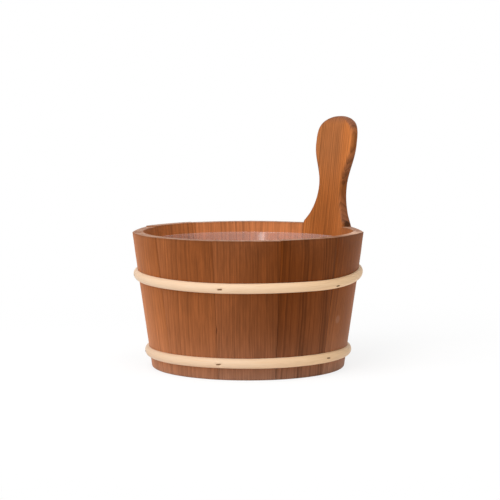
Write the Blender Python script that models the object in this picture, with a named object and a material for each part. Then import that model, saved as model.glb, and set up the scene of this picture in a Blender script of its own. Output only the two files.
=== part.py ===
"""Coopered sauna bucket.

Eleven tapered staves stand in a ring, and one of them is drawn up into a paddle handle. Two half-round
willow hoops, held by wire staples, bind them. A base of three boards sits in a groove cut round the inside
of the staves, and a moulded plastic liner stands loose on it and lifts straight out.
"""
import math

import bmesh
import bpy

# Bucket body, in metres: it stands on z = 0 with its axis on Z
RIM_DIAMETER = 0.240
FOOT_DIAMETER = 0.200
BODY_HEIGHT = 0.140
STAVE_COUNT = 11
STAVE_THICKNESS = 0.0114
STAVE_GAP = 0.0003
STAVE_ARRIS = 0.0004
RIM_RADIUS = 0.0020
FOOT_CHAMFER = 0.0015
HANDLE_AZIMUTH = math.radians(45.0)

# Paddle handle: heights are measured up from the rim
HANDLE_HEIGHT = 0.1167
HANDLE_ROOT_WIDTH = 0.070
HANDLE_NECK_WIDTH = 0.0356
HANDLE_NECK_HEIGHT = 0.041
HANDLE_HEAD_WIDTH = 0.0576
HANDLE_HEAD_HEIGHT = 0.087
HANDLE_HEAD_ROUNDNESS = 3.6
HANDLE_CREST_FLAT = 0.0035
HANDLE_EDGE_RADIUS = 0.0036
HANDLE_EDGE_RUN_IN = 0.012
HANDLE_EDGE_LIMIT = 0.35

# Base boards and the groove that holds them
BOARD_COUNT = 3
BASE_THICKNESS = 0.010
BASE_LIFT = 0.006
GROOVE_DEPTH = 0.004
GROOVE_DRAFT = 0.0005
SEAT_GAP = 0.0003

# Hoops: half-round strips with a long slanted lap where their ends meet
UPPER_HOOP_LEVEL = 0.0932
LOWER_HOOP_LEVEL = 0.0174
HOOP_WIDTH = 0.0105
HOOP_DEPTH = 0.0046
HOOP_LAP_LENGTH = 0.030
HOOP_LAP_STEP = 4.0

# Staples: places are counted in staves from the middle of the handle stave, so halves are stave joints
UPPER_STAPLE_STEPS = (-4.41, -2.5, -0.5, 1.5, 3.5, 4.5)
LOWER_STAPLE_STEPS = (-4.5, -2.5, -0.5, 1.5, 3.5, 4.5)
STAPLE_WIDTH = 0.0052
STAPLE_WIRE = 0.0007
STAPLE_WIRE_HEIGHT = 0.0011
STAPLE_BITE = 0.005
STAPLE_SINK = 0.0002
STAPLE_CLEARANCE = 0.0003

# Liner
LINER_WALL = 0.0016
LINER_CLEARANCE = 0.0012
LINER_DROP = 0.010
LINER_CORNER_RADIUS = 0.007

# Fineness of the curved faces
STAVE_FACE_STEPS = 6
RIM_STEPS = 3
HANDLE_FACE_STEPS = 8
HANDLE_CORNER_STEPS = 3
HANDLE_SHAFT_LEVELS = 16
HANDLE_HEAD_LEVELS = 8
HOOP_TURN_STEPS = 72
HOOP_SECTION_STEPS = 10
BOARD_ARC_STEPS = 14
LINER_TURN_STEPS = 64
LINER_ARC_STEPS = 4

# Sizes that follow from the ones above
STAVE_PITCH = 2 * math.pi / STAVE_COUNT
SLANT = math.atan2((RIM_DIAMETER - FOOT_DIAMETER) / 2, BODY_HEIGHT)
GROOVE_BOTTOM = BASE_LIFT - SEAT_GAP
GROOVE_TOP = BASE_LIFT + BASE_THICKNESS + SEAT_GAP
HOOP_FRONT = SEAT_GAP + HOOP_DEPTH
HANDLE_EDGE = min(HANDLE_EDGE_RADIUS, HANDLE_EDGE_LIMIT * STAVE_THICKNESS)


def outer_radius(z):
    """Radius of the staves' outer face; above the rim the handle carries the same cone on."""
    return FOOT_DIAMETER / 2 + z * math.tan(SLANT)


def inner_radius(z):
    """Radius of the staves' inner face."""
    return outer_radius(z) - STAVE_THICKNESS / math.cos(SLANT)


GROOVE_RADIUS = inner_radius(BASE_LIFT + BASE_THICKNESS / 2) + GROOVE_DEPTH
BASE_RADIUS = GROOVE_RADIUS - SEAT_GAP


def arc(centre_r, centre_z, radius, start, end, steps):
    """Points (r, z) on a circular arc, with its angles in degrees."""
    points = []
    for step in range(steps + 1):
        angle = math.radians(start + (end - start) * step / steps)
        points.append((centre_r + radius * math.cos(angle), centre_z + radius * math.sin(angle)))
    return points


def finished_mesh(name, bm):
    """Turns the faces outwards and shades the mesh smooth between its sharp edges."""
    bmesh.ops.recalc_face_normals(bm, faces=bm.faces)
    mesh = bpy.data.meshes.new(name)
    bm.to_mesh(mesh)
    bm.free()
    mesh.shade_smooth()
    mesh.set_sharp_from_angle(angle=math.radians(35))
    return mesh


def loft_mesh(name, rings):
    """Closed skin over a row of rings with equal point counts, capped at both ends."""
    bm = bmesh.new()
    loops = [[bm.verts.new(point) for point in ring] for ring in rings]
    count = len(rings[0])
    for low, high in zip(loops, loops[1:]):
        for i in range(count):
            j = (i + 1) % count
            bm.faces.new((low[i], low[j], high[j], high[i]))
    bm.faces.new(reversed(loops[0]))
    bm.faces.new(loops[-1])
    return finished_mesh(name, bm)


def prism_mesh(name, outline, bottom, top):
    """Flat outline of (x, y) points raised between two heights."""
    return loft_mesh(name, [[(x, y, z) for x, y in outline] for z in (bottom, top)])


def turned_mesh(name, profile, steps):
    """Solid of revolution about Z; the (r, z) profile starts and ends on the axis."""
    bm = bmesh.new()
    foot = bm.verts.new((0, 0, profile[0][1]))
    crown = bm.verts.new((0, 0, profile[-1][1]))
    columns = []
    for step in range(steps):
        turn = 2 * math.pi * step / steps
        ring = [(r * math.cos(turn), r * math.sin(turn), z) for r, z in profile[1:-1]]
        columns.append([bm.verts.new(point) for point in ring])
    for here, there in zip(columns, columns[1:] + columns[:1]):
        bm.faces.new((foot, there[0], here[0]))
        bm.faces.new((crown, here[-1], there[-1]))
        for i in range(len(here) - 1):
            bm.faces.new((here[i], there[i], there[i + 1], here[i + 1]))
    return finished_mesh(name, bm)


def plain_material(name, colour, roughness, metallic):
    """Principled material of one colour."""
    material = bpy.data.materials.new(name)
    material.use_nodes = True
    material.diffuse_color = (*colour, 1.0)
    shader = material.node_tree.nodes["Principled BSDF"]
    shader.inputs["Base Color"].default_value = (*colour, 1.0)
    shader.inputs["Roughness"].default_value = roughness
    shader.inputs["Metallic"].default_value = metallic
    return material


def add_object(name, mesh, material, parent):
    """Links a piece into the scene under its parent."""
    piece = bpy.data.objects.new(name, mesh)
    if not mesh.materials:
        mesh.materials.append(material)
    bpy.context.scene.collection.objects.link(piece)
    piece.parent = parent
    return piece


def joint_reach(radius):
    """Half-width of a stave at a radius, up to the flat face of its joint."""
    return radius * math.sin(STAVE_PITCH / 2 - math.asin(STAVE_GAP / 2 / radius))


def handle_half_width(height):
    """Half-width of the paddle at a height above the rim: flared root, neck, broad head, round end."""
    neck = HANDLE_NECK_WIDTH / 2
    head = HANDLE_HEAD_WIDTH / 2
    if height < HANDLE_NECK_HEIGHT:
        flare = 1 - height / HANDLE_NECK_HEIGHT
        return neck + (HANDLE_ROOT_WIDTH / 2 - neck) * flare ** 2
    if height < HANDLE_HEAD_HEIGHT:
        rise = (height - HANDLE_NECK_HEIGHT) / (HANDLE_HEAD_HEIGHT - HANDLE_NECK_HEIGHT)
        return neck + (head - neck) * (1 - math.cos(math.pi * rise)) / 2
    rise = (height - HANDLE_HEAD_HEIGHT) / (HANDLE_HEIGHT - HANDLE_HEAD_HEIGHT)
    return head * math.sqrt(1 - rise ** HANDLE_HEAD_ROUNDNESS)


def board_ring(z, outside, inside, reach, edge, face_steps, corner_steps):
    """Ring of points round a curved board at one height, centred on +X.

    reach gives the half-width at a radius, and edge is the radius of the four rounded corners.
    """
    turns = [math.pi / 2 * step / corner_steps for step in range(1, corner_steps + 1)]

    def face(radius):
        half = reach(radius) - edge
        return [(half * (2 * step / face_steps - 1), radius) for step in range(face_steps + 1)]

    def corner(radius, inwards):
        points = []
        for turn in turns:
            r = radius + inwards * edge * (1 - math.cos(turn))
            points.append((reach(r) - edge * (1 - math.sin(turn)), r))
        return points

    right_side = corner(outside, -1) + corner(inside, 1)[::-1]
    left_side = [(-s, r) for s, r in reversed(right_side)]
    flat = face(outside) + right_side + face(inside)[::-1] + left_side
    return [(math.sqrt(r * r - s * s), s, z) for s, r in flat]


def stave_ring(z, inset, inside, face_steps, corner_steps):
    """Ring across a stave whose outer face is drawn in by inset."""
    return board_ring(z, outer_radius(z) - inset, inside, joint_reach, STAVE_ARRIS, face_steps, corner_steps)


def stave_rings(face_steps, corner_steps):
    """Rings of a stave from its foot to just under the rim, with the base groove across its inner face."""
    levels = [
        (0.0, FOOT_CHAMFER, inner_radius(0.0) + FOOT_CHAMFER),
        (FOOT_CHAMFER, 0.0, inner_radius(FOOT_CHAMFER)),
        (GROOVE_BOTTOM - GROOVE_DRAFT, 0.0, inner_radius(GROOVE_BOTTOM - GROOVE_DRAFT)),
        (GROOVE_BOTTOM, 0.0, GROOVE_RADIUS),
        (GROOVE_TOP, 0.0, GROOVE_RADIUS),
        (GROOVE_TOP + GROOVE_DRAFT, 0.0, inner_radius(GROOVE_TOP + GROOVE_DRAFT)),
        (BODY_HEIGHT - RIM_RADIUS, 0.0, inner_radius(BODY_HEIGHT - RIM_RADIUS)),
    ]
    return [stave_ring(z, inset, inside, face_steps, corner_steps) for z, inset, inside in levels]


def rim_rings():
    """Rings that round a plain stave's end over at the rim."""
    rings = []
    for step in range(1, RIM_STEPS + 1):
        turn = math.pi / 2 * step / RIM_STEPS
        z = BODY_HEIGHT - RIM_RADIUS * (1 - math.sin(turn))
        inset = RIM_RADIUS * (1 - math.cos(turn))
        rings.append(stave_ring(z, inset, inner_radius(z) + inset, STAVE_FACE_STEPS, 1))
    return rings


def handle_heights():
    """Heights above the rim at which the paddle is drawn, closer together round its end."""
    shaft = [HANDLE_HEAD_HEIGHT * step / HANDLE_SHAFT_LEVELS for step in range(HANDLE_SHAFT_LEVELS + 1)]
    last = math.acos(HANDLE_CREST_FLAT / HANDLE_HEAD_WIDTH)
    head = []
    for step in range(1, HANDLE_HEAD_LEVELS + 1):
        width = math.cos(last * step / HANDLE_HEAD_LEVELS)
        rise = (1 - width ** 2) ** (1 / HANDLE_HEAD_ROUNDNESS)
        head.append(HANDLE_HEAD_HEIGHT + (HANDLE_HEIGHT - HANDLE_HEAD_HEIGHT) * rise)
    return shaft + head


def paddle_ring(height):
    """Ring across the paddle: the stave's own curve, cut to the outline and rounded on every edge."""
    z = BODY_HEIGHT + height
    crest_share = max(0.0, HANDLE_EDGE - (HANDLE_HEIGHT - height)) / HANDLE_EDGE
    crest_round = HANDLE_EDGE * (1 - math.sqrt(1 - crest_share ** 2))
    half_width = handle_half_width(height)

    def reach(radius):
        return min(joint_reach(radius), half_width)

    run_in = min(1.0, height / HANDLE_EDGE_RUN_IN)
    rounding = STAVE_ARRIS + (HANDLE_EDGE - STAVE_ARRIS) * run_in
    edge = min(rounding, HANDLE_EDGE_LIMIT * half_width)
    return board_ring(z, outer_radius(z) - crest_round, inner_radius(z) + crest_round, reach, edge,
                      HANDLE_FACE_STEPS, HANDLE_CORNER_STEPS)


def hoop_mesh(name, level):
    """Half-round strip bent round the staves, drawn about the hoop's own level."""
    wall = outer_radius(level)
    lap_centre = HANDLE_AZIMUTH + HOOP_LAP_STEP * STAVE_PITCH
    lap_slope = math.hypot(HOOP_DEPTH, HOOP_LAP_LENGTH) / HOOP_DEPTH
    lap_gap = SEAT_GAP * lap_slope / wall
    rings = []
    for step in range(HOOP_TURN_STEPS + 1):
        share = step / HOOP_TURN_STEPS
        ring = []
        for place in range(HOOP_SECTION_STEPS + 1):
            swing = math.pi * (place / HOOP_SECTION_STEPS - 0.5)
            depth = math.cos(swing)
            out = SEAT_GAP + HOOP_DEPTH * depth
            up = HOOP_WIDTH / 2 * math.sin(swing)
            radius = wall + out * math.cos(SLANT) + up * math.sin(SLANT)
            start = lap_centre + (depth - 0.5) * HOOP_LAP_LENGTH / wall + lap_gap / 2
            turn = start + share * (2 * math.pi - lap_gap)
            height = up * math.cos(SLANT) - out * math.sin(SLANT)
            ring.append((radius * math.cos(turn), radius * math.sin(turn), height))
        rings.append(ring)
    return loft_mesh(name, rings)


def staple_mesh(name):
    """Flat-wire staple seen from above: x runs out of the stave, y along the hoop."""
    half = STAPLE_WIDTH / 2
    inner = half - STAPLE_WIRE
    crown = HOOP_FRONT - STAPLE_SINK
    shoulder = crown - STAPLE_WIRE
    chisel = STAPLE_WIRE - STAPLE_BITE
    outline = [
        (-STAPLE_BITE, -half), (chisel, -inner), (shoulder, -inner), (shoulder, inner),
        (chisel, inner), (-STAPLE_BITE, half), (crown, half), (crown, -half),
    ]
    return prism_mesh(name, outline, -STAPLE_WIRE_HEIGHT / 2, STAPLE_WIRE_HEIGHT / 2)


def staple_pocket_mesh(name):
    """The room a staple takes in hoop and staves, open to the front."""
    half = STAPLE_WIDTH / 2 + STAPLE_CLEARANCE
    inner = STAPLE_WIDTH / 2 - STAPLE_WIRE - STAPLE_CLEARANCE
    front = HOOP_FRONT + HOOP_DEPTH
    shoulder = HOOP_FRONT - STAPLE_SINK - STAPLE_WIRE - STAPLE_CLEARANCE
    tip = -STAPLE_BITE - STAPLE_CLEARANCE
    outline = [
        (tip, -half), (tip, -inner), (shoulder, -inner), (shoulder, inner),
        (tip, inner), (tip, half), (front, half), (front, -half),
    ]
    reach = STAPLE_WIRE_HEIGHT / 2 + STAPLE_CLEARANCE
    return prism_mesh(name, outline, -reach, reach)


def place_on_wall(piece, level, steps):
    """Sets a piece square on the staves' outer face, a number of staves round from the handle."""
    azimuth = HANDLE_AZIMUTH + steps * STAVE_PITCH
    radius = outer_radius(level)
    piece.location = (radius * math.cos(azimuth), radius * math.sin(azimuth), level)
    piece.rotation_euler = (0.0, SLANT, azimuth)


def add_pocket(cutter_mesh, piece, level, steps, parent, targets):
    """Cuts a staple's room out of the hoop and of the staves that its legs enter."""
    cutter = bpy.data.objects.new(piece.name + "_pocket", cutter_mesh)
    bpy.context.scene.collection.objects.link(cutter)
    cutter.parent = parent
    place_on_wall(cutter, level, steps)
    cutter.hide_render = True
    cutter.display_type = "WIRE"
    for target in targets:
        cut = target.modifiers.new(cutter.name, "BOOLEAN")
        cut.operation = "DIFFERENCE"
        cut.solver = "EXACT"
        cut.object = cutter


def add_staves(parent):
    """The ring of staves, counted round from the handle stave, which is number 0."""
    wood = plain_material("stave_wood", (0.275, 0.092, 0.034), 0.55, 0.0)
    handle_wood = plain_material("handle_wood", (0.393, 0.134, 0.042), 0.50, 0.0)
    plain = loft_mesh("stave", stave_rings(STAVE_FACE_STEPS, 1) + rim_rings())
    rings = stave_rings(HANDLE_FACE_STEPS, HANDLE_CORNER_STEPS)
    rings += [paddle_ring(height) for height in handle_heights()]
    staves = [add_object("handle_stave", loft_mesh("handle_stave", rings), handle_wood, parent)]
    for number in range(1, STAVE_COUNT):
        staves.append(add_object(f"stave_{number:02d}", plain, wood, parent))
    for number, stave in enumerate(staves):
        stave.rotation_euler.z = HANDLE_AZIMUTH + number * STAVE_PITCH
    return staves


def staves_under(staves, level, steps):
    """The one or two staves that a staple at this place is driven into."""
    reach = (STAPLE_WIDTH / 2 + STAPLE_CLEARANCE) / outer_radius(level) / STAVE_PITCH
    numbers = {math.floor(steps + side * reach + 0.5) % STAVE_COUNT for side in (-1, 1)}
    return [staves[number] for number in sorted(numbers)]


def add_hoops(parent, staves):
    """Both hoops with their staples."""
    willow = plain_material("hoop_willow", (0.86, 0.64, 0.45), 0.45, 0.0)
    steel = plain_material("staple_steel", (0.12, 0.10, 0.09), 0.45, 0.9)
    staple = staple_mesh("staple")
    pocket = staple_pocket_mesh("staple_pocket")
    rows = (("upper", UPPER_HOOP_LEVEL, UPPER_STAPLE_STEPS), ("lower", LOWER_HOOP_LEVEL, LOWER_STAPLE_STEPS))
    for name, level, places in rows:
        hoop = add_object(f"{name}_hoop", hoop_mesh(f"{name}_hoop", level), willow, parent)
        hoop.location.z = level
        for number, steps in enumerate(places, start=1):
            piece = add_object(f"{name}_staple_{number}", staple, steel, parent)
            place_on_wall(piece, level, steps)
            add_pocket(pocket, piece, level, steps, parent, [hoop, *staves_under(staves, level, steps)])


def board_outline(low, high):
    """Outline of one base board: two straight edges along X, and round ends on the base circle."""
    start = math.asin(max(-1.0, low / BASE_RADIUS))
    end = math.asin(min(1.0, high / BASE_RADIUS))
    right = []
    for step in range(BOARD_ARC_STEPS + 1):
        angle = start + (end - start) * step / BOARD_ARC_STEPS
        right.append((BASE_RADIUS * math.cos(angle), BASE_RADIUS * math.sin(angle)))
    left = [(-x, y) for x, y in reversed(right) if x > SEAT_GAP]
    return right + left


def add_base(parent):
    """Boards side by side across the base, their round ends in the groove."""
    wood = plain_material("base_wood", (0.33, 0.13, 0.055), 0.6, 0.0)
    width = 2 * BASE_RADIUS / BOARD_COUNT
    for number in range(BOARD_COUNT):
        low = number * width - BASE_RADIUS
        high = low + width
        low += SEAT_GAP / 2 if number else 0.0
        high -= SEAT_GAP / 2 if number < BOARD_COUNT - 1 else 0.0
        name = f"base_board_{number + 1}"
        mesh = prism_mesh(name, board_outline(low, high), 0.0, BASE_THICKNESS)
        board = add_object(name, mesh, wood, parent)
        board.location.z = BASE_LIFT


def add_liner(parent):
    """Loose tub that stands on the base; its origin is on the axis it lifts out along."""
    floor = BASE_LIFT + BASE_THICKNESS + SEAT_GAP
    height = BODY_HEIGHT - LINER_DROP - floor

    def radius(z):
        return inner_radius(floor + z) - LINER_CLEARANCE

    corner = radius(LINER_CORNER_RADIUS) - LINER_CORNER_RADIUS
    bead = LINER_WALL / 2
    profile = [(0.0, 0.0)]
    profile += arc(corner, LINER_CORNER_RADIUS, LINER_CORNER_RADIUS, -90, 0, LINER_ARC_STEPS)
    profile += arc(radius(height - bead) - bead, height - bead, bead, 0, 180, LINER_ARC_STEPS)
    profile += arc(corner, LINER_CORNER_RADIUS, LINER_CORNER_RADIUS - LINER_WALL, 0, -90, LINER_ARC_STEPS)
    profile.append((0.0, LINER_WALL))
    plastic = plain_material("liner_plastic", (0.62, 0.55, 0.55), 0.35, 0.0)
    plastic.node_tree.nodes["Principled BSDF"].inputs["Alpha"].default_value = 0.45
    liner = add_object("liner", turned_mesh("liner", profile, LINER_TURN_STEPS), plastic, parent)
    liner.location.z = floor


def main():
    for old in list(bpy.data.objects):
        bpy.data.objects.remove(old, do_unlink=True)
    bucket = bpy.data.objects.new("bucket", None)
    bpy.context.scene.collection.objects.link(bucket)
    staves = add_staves(bucket)
    add_hoops(bucket, staves)
    add_base(bucket)
    add_liner(bucket)


main()
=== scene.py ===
"""Looks of the coopered sauna bucket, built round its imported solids.

Every piece is modelled again more finely in the place of its solid: eleven staves of brown heat-treated
softwood, two peeled willow hoops with their wire staples, the base boards and the milky plastic liner.
"""
import math
from dataclasses import dataclass

import bmesh
import bpy
from mathutils import Matrix, Vector


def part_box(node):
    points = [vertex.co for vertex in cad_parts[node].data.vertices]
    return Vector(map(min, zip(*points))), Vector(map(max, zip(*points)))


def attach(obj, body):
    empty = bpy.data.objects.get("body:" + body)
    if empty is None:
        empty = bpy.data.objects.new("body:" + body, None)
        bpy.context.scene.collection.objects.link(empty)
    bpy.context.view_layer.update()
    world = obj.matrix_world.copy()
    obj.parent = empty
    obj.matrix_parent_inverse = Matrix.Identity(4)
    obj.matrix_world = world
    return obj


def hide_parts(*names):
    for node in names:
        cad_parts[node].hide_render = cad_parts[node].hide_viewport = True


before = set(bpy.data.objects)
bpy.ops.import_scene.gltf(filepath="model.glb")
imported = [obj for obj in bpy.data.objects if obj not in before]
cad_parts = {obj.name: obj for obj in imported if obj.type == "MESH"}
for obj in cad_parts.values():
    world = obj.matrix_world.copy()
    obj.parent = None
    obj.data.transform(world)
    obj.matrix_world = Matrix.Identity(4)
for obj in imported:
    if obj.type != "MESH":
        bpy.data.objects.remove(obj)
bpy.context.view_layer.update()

# Sizes of the pieces, in metres; the lap's place is counted in staves from the handle
RIM_RADIUS = 0.120
FOOT_RADIUS = 0.100
STAVE_COUNT = 11
STAVE_THICKNESS = 0.0114
HANDLE_AZIMUTH = math.radians(45.0)
HANDLE_ROOT_WIDTH = 0.0672
HANDLE_NECK_WIDTH = 0.0348
HANDLE_NECK_HEIGHT = 0.041
HANDLE_HEAD_WIDTH = 0.0570
HANDLE_OFFSET = 0.0004
HANDLE_HEAD_HEIGHT = 0.087
HANDLE_HEAD_ROUNDNESS = 3.4
HANDLE_CREST_FLAT = 0.0035
HOOP_WIDTH = 0.0105
HOOP_DEPTH = 0.0046
HOOP_LAP_LENGTH = 0.030
HOOP_LAP_STEP = 4.0
STAPLE_WIDTH = 0.0046
STAPLE_WIRE = 0.0007
STAPLE_WIRE_HEIGHT = 0.0009
STAPLE_BITE = 0.005
STAPLE_SINK = 0.0002
GROOVE_DRAFT = 0.0005
LINER_WALL = 0.0016
LINER_CLEARANCE = 0.0012
LINER_CORNER_RADIUS = 0.007
SEAT_GAP = 0.0003

# Fine finish of edges, joints and dents
SANDING = 0.00008
JOINT_GAP = 0.00008
OPEN_JOINT_GAP = 0.00020
STAVE_ARRIS = 0.0003
RIM_ROUNDING = 0.0006
FACET_START = 0.116
FOOT_ROUNDING = 0.0014
HANDLE_ROUNDING = 0.0026
CREST_ROUNDING = 0.0045
CREST_DEPTH = 0.0090
HANDLE_ROUNDING_RUN_IN = 0.012
HANDLE_ROUNDING_LIMIT = 0.35
HEAD_ROUNDING = 0.0046
EDGE_LIMIT = 0.46
CHIP_LENGTH = 0.0028
CHIP_DEPTH = 0.0007
HOOP_SEAT = 0.0001
HOOP_WAVER = 0.025
HOOP_DRIFT = 0.0002
UPPER_HOOP_RISE = 0.0075
LOWER_HOOP_TILT = 0.0005
LAP_OPENING = 0.0012
DENT_DEPTH = 0.0007
DENT_LENGTH = 0.0034
DENT_HEIGHT = 0.0011
DENT_END_STEEPNESS = 6
DENT_SIDE_STEEPNESS = 4
STAPLE_CORNER = 0.0006
STAPLE_ARRIS = 0.00012
BOARD_ARRIS = 0.0006
EASED_ANGLE = math.radians(30.0)
SHARP_ANGLE = math.radians(40.0)
MILLIMETRES = 1000.0
SEED_STEP = 1.7

# Hoops as name, seed of their figure, rise towards the back and tilt up to the right
HOOPS = (
    ("upper", 1.0, UPPER_HOOP_RISE, 0.0),
    ("lower", 2.7, 0.0, LOWER_HOOP_TILT),
)
# A rise starts and ends at these degrees to the left and to the right of the front
LEFT_HOOP_CLIMB = (10.0, 180.0)
RIGHT_HOOP_CLIMB = (38.0, 115.0)
# Waves of a hoop's waver as count in a turn, share and how far the seed shifts them
HOOP_WAVES = ((2, 1.0, 1.0), (5, 0.6, 2.3))
# Places of staples against their solids: along the hoop, up the wall, and tilt in degrees
STAPLE_MOVES = {
    "upper_staple_1": (0.0009, -0.0002, 6.0),
    "upper_staple_2": (0.0032, -0.0017, 4.0),
    "lower_staple_1": (0.0019, -0.0001, 5.0),
    "lower_staple_2": (0.0016, 0.0007, -4.0),
}

# Fineness of the curved faces
STAVE_FACE_STEPS = 22
STAVE_CORNER_STEPS = 3
STAVE_LEVELS = 26
ROUNDING_STEPS = 5
HANDLE_CORNER_STEPS = 7
HANDLE_SHAFT_LEVELS = 44
HANDLE_HEAD_LEVELS = 22
HOOP_TURN_STEPS = 720
HOOP_SECTION_STEPS = 30
BOARD_ARC_STEPS = 40
LINER_TURN_STEPS = 160
LINER_ARC_STEPS = 8
STAPLE_ARRIS_STEPS = 2
BOARD_ARRIS_STEPS = 3
FLOOR_STEPS = 96

# Camera, worked out from the photograph's outline; lamps as name, azimuth, elevation, distance, size, power
CAMERA_AZIMUTH = math.radians(4.8)
CAMERA_DISTANCE = 1.8702
CAMERA_HEIGHT = 0.3032
CAMERA_PITCH = math.radians(-5.593)
CAMERA_YAW = math.radians(0.060)
CAMERA_LENS = 130.50
CAMERA_SENSOR = 36.0
LAMPS = (
    ("key", -38.0, 44.0, 2.2, 1.4, 24.5),
    ("top", -15.0, 78.0, 1.6, 1.0, 13.5),
    ("fill", -17.0, 14.2, 2.0, 0.16, 4.2),
)
WORLD_LIGHT = 0.40
FLOOR_RADIUS = 12.0
FLOOR_DROP = 0.0002
FLOOR_COLOUR = (0.94, 0.94, 0.94)
FLOOR_WHITENING = 0.83
FLOOR_FADE_START = 0.20
FLOOR_FADE_END = 0.60

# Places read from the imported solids, and sizes that follow from them
BODY_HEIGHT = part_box("stave_01")[1].z
HANDLE_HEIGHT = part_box("handle_stave")[1].z - BODY_HEIGHT
GROOVE_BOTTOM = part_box("base_board_2")[0].z - SEAT_GAP
GROOVE_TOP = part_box("base_board_2")[1].z + SEAT_GAP
BASE_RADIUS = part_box("base_board_2")[1].x
GROOVE_RADIUS = BASE_RADIUS + SEAT_GAP
HOOP_FRONT = SEAT_GAP + HOOP_DEPTH
STAVE_PITCH = 2 * math.pi / STAVE_COUNT
SLANT = math.atan2(RIM_RADIUS - FOOT_RADIUS, BODY_HEIGHT)


@dataclass
class Timber:
    """How one board was cut, and how its growth rings show.

    tones run from 0 for dark wood to 1 for light, at the board's left and right edge, and carry some painted
    light.
    rise is their change from foot to rim and middle their change half-way across. spacing is the width of a
    ring, contrast how dark its late wood is, and pith the place of the tree's heart, across and behind the
    face, in millimetres. lean tilts the grain, in degrees. ends is how soon cut fibres darken, sides how far
    its sides are darkened as painted shade, and grip how far hands have dulled the upper end. speckle is how
    dark its specks are, and warmth turns it towards orange or, below 0, away from it. A dark spot has a
    centre, a size and a shade, and a scuff a centre, a size and how pale it is. painted_floor_reflection is
    how pale its foot is painted, as a reflection of the white floor, rim_wear_and_painted_light how pale at
    the left and right end of its rim, from wear and painted highlight, and flat how far its outer face is
    planed flat there, from 0 to 1. joint is the gap beside a stave, chip the height of a broken bit of its
    left arris, shy how far its outer face stays inside the solid's and lift how far its end stands above the
    others, in metres.
    """
    tones: tuple
    spacing: float
    contrast: float
    pith: tuple
    lean: float = 0.0
    rise: float = -0.3
    middle: float = 0.0
    ends: float = 1.0
    sides: float = 0.0
    grip: float = 0.0
    speckle: float = 0.0
    warmth: float = 0.0
    painted_floor_reflection: float = 0.55
    rim_wear_and_painted_light: tuple = (0.7, 0.7)
    dark_spots: tuple = ()
    scuffs: tuple = ()
    joint: float = JOINT_GAP
    chip: float = 0.0
    shy: float = SANDING
    lift: float = 0.0
    flat: float = 0.2


# Staves are counted round from the handle stave, and the left edge is the left one seen from outside
# Tones are partly the wood's own and partly painted light: tone steps between staves paint facet shading,
# stave 5's left and stave 9's right edge carry painted sheen, staves 1 to 3 painted light inside.
STAVE_TIMBERS = (
    # The handle stave: its sides are darkened as painted shade, and it has dark spots at its root by the rim
    # and along one edge just above its neck
    Timber(tones=(0.70, 0.92), rise=0.33, middle=-0.84, spacing=2.8, contrast=0.38, pith=(-95.0, -30.0),
           lean=-1.0, warmth=0.6, ends=1.7, sides=0.15, grip=0.50, rim_wear_and_painted_light=(), flat=0.0,
           dark_spots=(((-33.0, -9.0, 142.5), 5.5, 0.26), ((-20.5, -9.0, 187.0), 3.5, 0.65),
                  ((-22.0, -9.5, 197.0), 3.5, 0.70))),
    Timber(tones=(1.34, 1.30), spacing=4.8, contrast=0.25, pith=(110.0, -35.0), lean=0.5,
           warmth=-0.4, lift=0.0008, flat=0.4),
    Timber(tones=(1.40, 1.28), spacing=5.5, contrast=0.27, pith=(-120.0, -30.0), lean=-0.5,
           warmth=-0.4, lift=0.0007),
    Timber(tones=(1.14, 0.68), spacing=5.0, contrast=0.32, pith=(90.0, -40.0), lean=1.0,
           lift=0.0011),
    Timber(tones=(0.80, 0.95), spacing=4.0, contrast=0.28, pith=(-85.0, -35.0), lean=-1.5,
           lift=0.0003, flat=0.6),
    Timber(tones=(1.26, 0.56), rise=-0.6, spacing=4.5, contrast=0.25, pith=(-130.0, -45.0), lean=-2.0),
    Timber(tones=(0.66, 0.34), rise=-0.35, middle=-0.16, spacing=5.2, contrast=0.25, pith=(-110.0, -25.0),
           lean=-2.5, warmth=-0.5, painted_floor_reflection=0.45, rim_wear_and_painted_light=(0.55, 0.4)),
    Timber(tones=(0.30, -0.06), rise=-0.08, spacing=2.8, contrast=0.24, pith=(140.0, -25.0), lean=0.4,
           warmth=-0.9, rim_wear_and_painted_light=(0.4, 0.8), joint=OPEN_JOINT_GAP, chip=0.051, lift=0.0002, flat=0.4),
    Timber(tones=(-0.17, 0.05), rise=0.0, spacing=6.5, contrast=0.42, pith=(114.0, -20.0), lean=1.2,
           warmth=-0.6, painted_floor_reflection=0.47, rim_wear_and_painted_light=(0.8, 0.45), lift=0.0006, flat=0.5),
    Timber(tones=(0.22, 0.60), rise=-0.62, spacing=2.6, contrast=0.22, pith=(-100.0, -50.0), lean=0.5,
           speckle=0.15, painted_floor_reflection=0.85, rim_wear_and_painted_light=(0.2, 2.4), scuffs=(((-14.5, -1.0, 56.0), 5.5, 0.14),),
           lift=0.0008, flat=0.5),
    Timber(tones=(0.60, 0.50), spacing=3.6, contrast=0.30, pith=(90.0, -30.0), lean=1.0,
           lift=0.0003, flat=0.6),
)
BOARD_TIMBERS = (
    Timber(tones=(0.75, 0.65), spacing=5.0, contrast=0.35, pith=(15.0, -60.0), painted_floor_reflection=0.0, rim_wear_and_painted_light=()),
    Timber(tones=(0.60, 0.70), spacing=4.0, contrast=0.35, pith=(-70.0, -30.0), painted_floor_reflection=0.0, rim_wear_and_painted_light=()),
    Timber(tones=(0.80, 0.70), spacing=5.5, contrast=0.35, pith=(30.0, -45.0), painted_floor_reflection=0.0, rim_wear_and_painted_light=()),
)

# Colours; a hoop turns yellower between two places on its turn, painted warm light on the bucket's right side
DARK_WOOD = (0.175, 0.0450, 0.0080)
LIGHT_WOOD = (0.410, 0.1330, 0.0390)
END_WOOD = (0.195, 0.0740, 0.0360)
# Painted reflection of the white floor, at the foot of the staves
PAINTED_REFLECTION_COLOUR = (0.420, 0.2300, 0.1500)
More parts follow.
